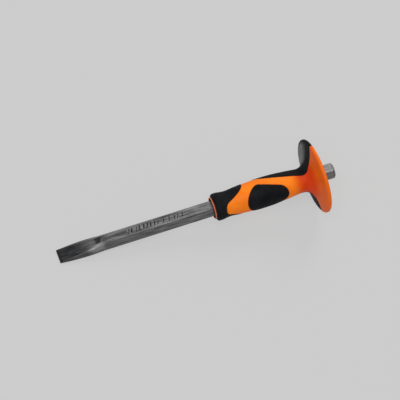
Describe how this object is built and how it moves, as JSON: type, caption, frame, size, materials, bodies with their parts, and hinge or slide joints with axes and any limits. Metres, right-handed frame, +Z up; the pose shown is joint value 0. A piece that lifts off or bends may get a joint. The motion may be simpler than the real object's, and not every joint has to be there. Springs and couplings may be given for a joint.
{
  "type": "cold chisel",
  "caption": "Flat cold chisel: hexagonal steel bar with a forged blade, and a soft-padded grip with a round hand guard.",
  "frame": {"origin": "under the middle of the object's box, on the bench that the blade and the guard's rim rest on", "axes": "+X from the cutting edge towards the struck end along the bench, +Z up; the finger side of the grip faces -Y and up"},
  "size_m": [0.3028, 0.0809, 0.0805],
  "materials": {
    "forged_steel": "dark forged and tempered steel, fine ground along the facets",
    "hard_grip": "orange moulded hard plastic, satin",
    "soft_grip": "black soft moulded rubber, satin"
  },
  "bodies": {
    "root": {"chisel_bar": "forged_steel", "grip_core": "hard_grip", "front_collar": "soft_grip", "finger_pad": "soft_grip", "back_pad": "soft_grip"}
  },
  "joints": []
}
